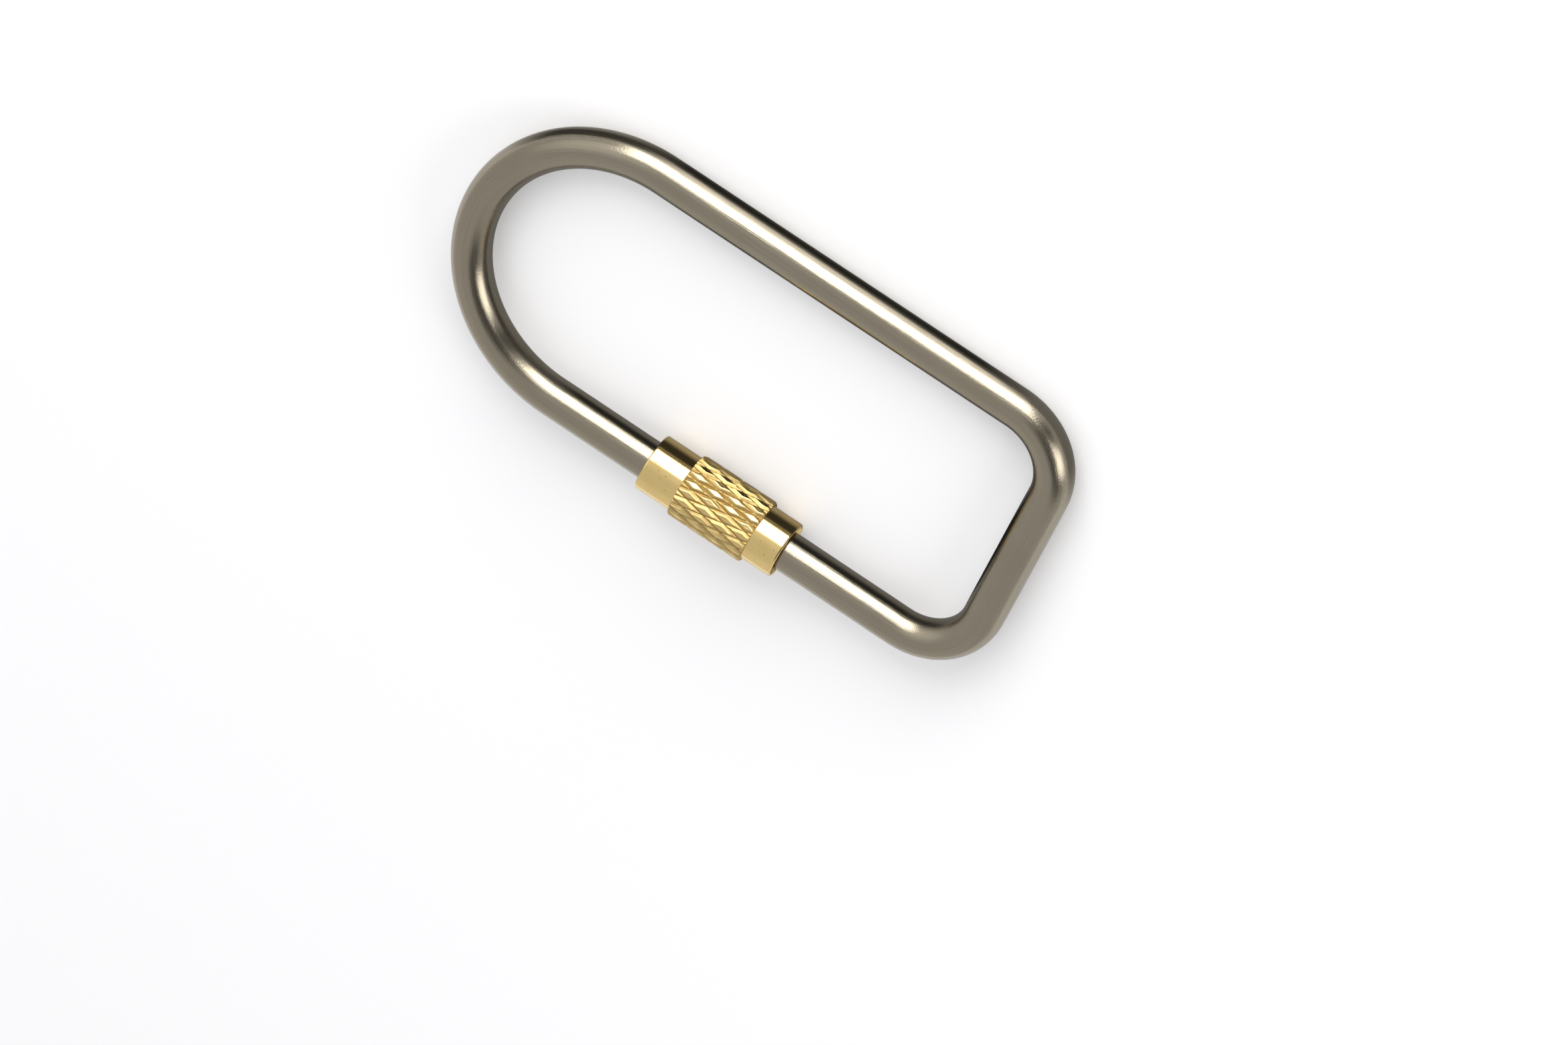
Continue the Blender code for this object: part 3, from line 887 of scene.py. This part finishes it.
def turned_steel(name, colour, dark, roughness, root_r, crest_r):
    """A turned steel that is darker where it is worn, and darker towards its roots with painted
    shade.
    """
    steel, tree, lay = new_metal(name)
    lines = use_group(tree, lines_tree, Lay=lay, Along=9000.0, Across=120.0)
    patches = use_group(tree, wear_tree, Lay=lay, Scale=600.0, Share=0.5)
    root = use_group(tree, root_tree, Lay=lay, Root=root_r, Crest=crest_r)
    worn = blend_colours(tree, remap(tree, patches, high=STEEL_WORN_SHARE), colour, dark)
    # Painted shade: darker towards the thread's root, or towards the ring's bore
    shaded_in_roots = blend_colours(tree, remap(tree, root, high=STEEL_ROOT_SHARE), worn, dark)
    rough = remap(tree, lines, *(roughness + off for off in STEEL_SPREAD))
    finish_metal(steel, shaded_in_roots, rough, bump(tree, lines, STEEL_HEIGHT))
    return steel


tip_steel = turned_steel(
    "bright_turned_steel", colour=(0.56, 0.54, 0.52), dark=(0.20, 0.18, 0.15), roughness=0.30,
    root_r=TIP_ROOT_RADIUS, crest_r=TIP_CREST_RADIUS)
ring_steel = turned_steel(
    "dull_turned_steel", colour=(0.50, 0.49, 0.47), dark=(0.28, 0.26, 0.23), roughness=0.36,
    root_r=INNER_BORE_RADIUS, crest_r=RING_RADIUS)

# %% [markdown]
# ## Fitting the pieces to the frame
#
# Each piece takes its metal, rides on the CAD body that it moves with, and hides the CAD
# node that it stands for. Animating the pieces by hand could show the sleeve running back,
# but only riding keeps them true to the CAD joints.

# %% Riding
for piece, metal, body, node, slot in (
        (bent_wire, nickel, "loop", "wire_loop", "wire"),
        (screw_tip, tip_steel, "loop", "threaded_tip", "tip"),
        (stop_ring, ring_steel, "stop", "stop_ring", "ring"),
        (brass_sleeve, brass, "sleeve", "lock_sleeve", "sleeve")):
    piece.data.materials.clear()
    piece.data.materials.append(metal)
    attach(piece, body)
    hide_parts(node)
    print(piece.name, "in", metal.name, "rides on", body)

# %% [markdown]
# ## The floor
#
# Polished metal shows what is round it, so most of its look is the room. The ring lies on
# white paper. A white background alone would show no shadow, so there is a real sheet, large
# enough to reach the horizon in the wire's reflections. It glows a little for camera and
# mirror rays, which keeps it as white as an overexposed photograph shows it.

# %% Floor
FLOOR_SIZE = 30.0
FLOOR_WHITE = (0.92, 0.92, 0.94)
FLOOR_LIFT = 0.165             # how much it glows, where display white is 1
PAPER_ROUGHNESS = 0.9


def paper_material(name):
    """White paper. Returns it, its tree and its shader."""
    paper = bpy.data.materials.new(name)
    paper.use_nodes = True
    shader = paper.node_tree.nodes["Principled BSDF"]
    shader.inputs["Base Color"].default_value = (*FLOOR_WHITE, 1.0)
    shader.inputs["Roughness"].default_value = PAPER_ROUGHNESS
    shader.inputs["Specular IOR Level"].default_value = 0.0
    return paper, paper.node_tree, shader


paper, tree, shader = paper_material("white_paper")
rays = put(tree, "LightPath").outputs
seen = calc(tree, 'MAXIMUM', rays["Is Camera Ray"], rays["Is Glossy Ray"])
tree.links.new(calc(tree, 'MULTIPLY', seen, FLOOR_LIFT), shader.inputs["Emission Strength"])
shader.inputs["Emission Color"].default_value = (1.0, 1.0, 1.0, 1.0)

half = FLOOR_SIZE / 2
floor_mesh = bpy.data.meshes.new("floor")
floor_mesh.from_pydata([(-half, -half, 0), (half, -half, 0), (half, half, 0), (-half, half, 0)],
                       [], [(0, 1, 2, 3)])
floor_mesh.materials.append(paper)
floor = bpy.data.objects.new("floor", floor_mesh)
bpy.context.scene.collection.objects.link(floor)
print("floor: %.0f m square" % FLOOR_SIZE)

# %% [markdown]
# ## The card
#
# Close to the wire, mirror rays land on the paper within a few millimetres. Plain white
# there would leave the wire's edges pale and flat. A photographer would hold dark cards
# beside it, but they would shade the paper too. So a card with soft dark and bright bands
# lies on the paper, and only mirror rays see it: it is left out of the camera's view and of
# the light that falls on the floor.

# %% The card's bands
# Each band is a list of distances, in metres, and how light the card is there, where white
# paper is 1. Each START or END is the stretch over which a band comes in or goes out.
INNER_GREY = 0.46
INNER_BAND = [(0.0026, 0.42), (0.0042, 0.04), (0.0110, 0.03), (0.0170, 0.46)]
INNER_START = (-0.004, 0.001)
OUTER_BAND = [(0.0008, 0.5), (0.0014, 0.05), (0.0032, 0.05), (0.0050, 0.6), (0.0075, 2.4),
              (0.0105, 3.0), (0.0120, 1.0)]
OUTER_START = (0.0040, 0.0090)
BEND_BAND = [(0.0012, 0.8), (0.0028, 0.10), (0.0150, 0.10), (0.0220, 0.6)]
BEND_END = (-0.0050, 0.0010)
CORNER_BAND = [(0.0, 0.5), (0.0030, 0.35), (0.0150, 0.3), (0.0220, 0.6)]
CORNER_START = (0.0260, 0.0310)
print("the brightest band is %.1f times white paper" % max(grey for _, grey in OUTER_BAND))

# %% How light the card is at a point


def edge_distance(x, y):
    """How far points lie outside the wire's centreline, from above. Inside is negative."""
    round_end = np.hypot(x, y) - bend_r
    straight = np.maximum(abs(y) - bend_r, x - LEG_LENGTH)
    corner = np.hypot(x - corner_x, abs(y) - corner_y) - CORNER_RADIUS
    in_corner = (x > corner_x) & (abs(y) > corner_y)
    return np.where(x < 0, round_end, np.where(in_corner, corner, straight))


def card_shade(x, y):
    """How light the card is at points: 0 is black, 1 white paper, and more than 1 glows."""
    outside = edge_distance(x, y)
    inner = np.interp(y + bend_r, *zip(*INNER_BAND)) - INNER_GREY
    inner = INNER_GREY + inner * np.interp(x, INNER_START, (0, 1))
    outer = np.interp(outside, *zip(*OUTER_BAND))
    by_bend = np.interp(outside, *zip(*BEND_BAND))
    outer += (by_bend - outer) * np.interp(x, BEND_END, (1, 0))
    by_corner = np.interp(outside, *zip(*CORNER_BAND))
    outer += (by_corner - outer) * np.interp(x, CORNER_START, (0, 1))
    outer = 1 + (outer - 1) * np.interp(y, OUTER_START, (0, 1))
    return np.where(outside < 0, inner, outer)


print("card inside the loop: %.2f" % card_shade(0, 0))

# %% The card's mesh
CARD_STEP = 0.0005
CARD_MARGIN = 0.018
CARD_HEIGHT = 0.00002

card_x = np.arange(-bend_r - CARD_MARGIN, LEG_LENGTH + CARD_MARGIN, CARD_STEP)
card_y = np.arange(-bend_r - CARD_MARGIN, bend_r + CARD_MARGIN, CARD_STEP)
spot_x, spot_y = (grid.ravel() for grid in np.meshgrid(card_x, card_y))
shades = card_shade(spot_x, spot_y)
bend_centre = loop_place.translation
card_points = [(bend_centre.x + x, bend_centre.y + y, CARD_HEIGHT)
               for x, y in zip(spot_x, spot_y)]
row = len(card_x)
card_faces = [(a, a + 1, a + row + 1, a + row) for j in range(len(card_y) - 1)
              for a in range(j * row, j * row + row - 1)]
card_mesh = bpy.data.meshes.new("banded_card")
card_mesh.from_pydata(card_points, [], card_faces)
card_mesh.attributes.new("shade", 'FLOAT', 'POINT').data.foreach_set(
    "value", shades.astype(np.float32))
print("card:", len(card_faces), "faces, shades %.2f to %.2f" % (shades.min(), shades.max()))

# %% The card's finish
WINDOW_TINT = (1.0, 0.99, 0.965)

board, tree, shader = paper_material("banded_card")
shade = put(tree, "Attribute", {"attribute_name": "shade"}).outputs["Fac"]
tree.links.new(blend_colours(tree, shade, (0.0, 0.0, 0.0), FLOOR_WHITE),
               shader.inputs["Base Color"])
glow = calc(tree, 'MAXIMUM', calc(tree, 'SUBTRACT', shade, 1.0), 0.0)
tree.links.new(glow, shader.inputs["Emission Strength"])
shader.inputs["Emission Color"].default_value = (*WINDOW_TINT, 1.0)
card_mesh.materials.append(board)
card = bpy.data.objects.new("banded_card", card_mesh)
bpy.context.scene.collection.objects.link(card)
card.visible_camera = card.visible_diffuse = card.visible_shadow = False
print("card seen by mirror rays:", card.visible_glossy)

# %% [markdown]
# ## The room and its windows
#
# The room is pale grey. It is dark over the narrow window and in the strip between the two
# windows, and paler in two places on the other walls. A photographed panorama could light
# the ring as well, but its bands would fall where they happen to. Patches that are mixed by
# direction put each band on the wire where it belongs. The windows are area lamps, because
# they throw soft shadows with little noise.

# %% The room
ROOM_GREY = (0.61, 0.61, 0.62)
# Azimuth, elevation, how far each reaches whole and fading, in degrees, and its grey
ROOM_PATCHES = [(14, 46, 25, 42, 0.13), (53, 4, 7, 15, 0.14), (53, 22, 7, 15, 0.14),
                (143, 42, 10, 36, 1.0), (258, 12, 10, 42, 0.70)]


def toward(azimuth, elevation):
    """The direction at two angles in degrees."""
    azimuth, elevation = math.radians(azimuth), math.radians(elevation)
    return Vector((math.cos(elevation) * math.cos(azimuth),
                   math.cos(elevation) * math.sin(azimuth), math.sin(elevation)))


world = bpy.data.worlds.new("room")
world.use_nodes = True
tree = world.node_tree
view = put(tree, "TexCoord").outputs["Generated"]
wall_colour = ROOM_GREY
for azimuth, elevation, whole, fading, grey in ROOM_PATCHES:
    facing = put(tree, "VectorMath", {"operation": 'DOT_PRODUCT'}, _0=view,
                 _1=toward(azimuth, elevation))
    inside = put(tree, "MapRange", {"interpolation_type": 'SMOOTHSTEP'},
                 Value=facing.outputs["Value"], From_Min=math.cos(math.radians(fading)),
                 From_Max=math.cos(math.radians(whole)))
    wall_colour = blend_colours(tree, inside.outputs[0], wall_colour, (grey, grey, grey))
tree.links.new(wall_colour, tree.nodes["Background"].inputs["Color"])
bpy.context.scene.world = world
print("patches in the room:", len(ROOM_PATCHES))

# %% The two windows
WINDOW_DISTANCE = 0.6
# Azimuth, elevation, width, height, and how bright it looks, where display white is 1. A
# lamp that sends out pi watts from a square metre looks just as bright as that.
WINDOWS = {"wide_window": (100.5, 22.5, 0.50, 0.51, 4.3),
           "narrow_window": (16, 25.5, 0.30, 0.33, 3.3)}

for name, (azimuth, elevation, width, height, glow) in WINDOWS.items():
    window = bpy.data.lights.new(name, 'AREA')
    window.shape = 'RECTANGLE'
    window.size, window.size_y = width, height
    window.energy = glow * math.pi * width * height
    window.color = WINDOW_TINT
    lamp = bpy.data.objects.new(name, window)
    way = toward(azimuth, elevation)
    lamp.location = way * WINDOW_DISTANCE
    lamp.rotation_euler = way.to_track_quat('Z', 'Y').to_euler()
    bpy.context.scene.collection.objects.link(lamp)
    print("%s: %.2f W" % (name, window.energy))

# %% [markdown]
# ## The camera
#
# The camera stands a metre away behind a long lens, so near and far parts of the wire look
# equally thick. A short lens close by would show the same loop with its near side larger.
# Angles, roll and lens were fitted to the photograph, from the outline of the wire in it.

# %% Camera
LOOK_AT = Vector((0.0066277, -0.0103476, 0.0))
CAMERA_AZIMUTH = 78.2460
CAMERA_ELEVATION = 49.7510
CAMERA_ROLL = -137.3594
CAMERA_DISTANCE = 1.00594
LENS = 323.9987
SENSOR_WIDTH = 36.0

away = toward(CAMERA_AZIMUTH, CAMERA_ELEVATION)
camera_data = bpy.data.cameras.new("camera")
camera_data.lens = LENS
camera_data.sensor_width = SENSOR_WIDTH
camera = bpy.data.objects.new("camera", camera_data)
camera.matrix_world = (Matrix.Translation(LOOK_AT + away * CAMERA_DISTANCE)
                       @ away.to_track_quat('Z', 'Y').to_matrix().to_4x4()
                       @ Matrix.Rotation(math.radians(CAMERA_ROLL), 4, 'Z'))
bpy.context.scene.collection.objects.link(camera)
bpy.context.scene.camera = camera
bpy.context.scene.view_settings.view_transform = 'Standard'
print("camera: %.2f m away, %.0f mm lens" % (CAMERA_DISTANCE, LENS))
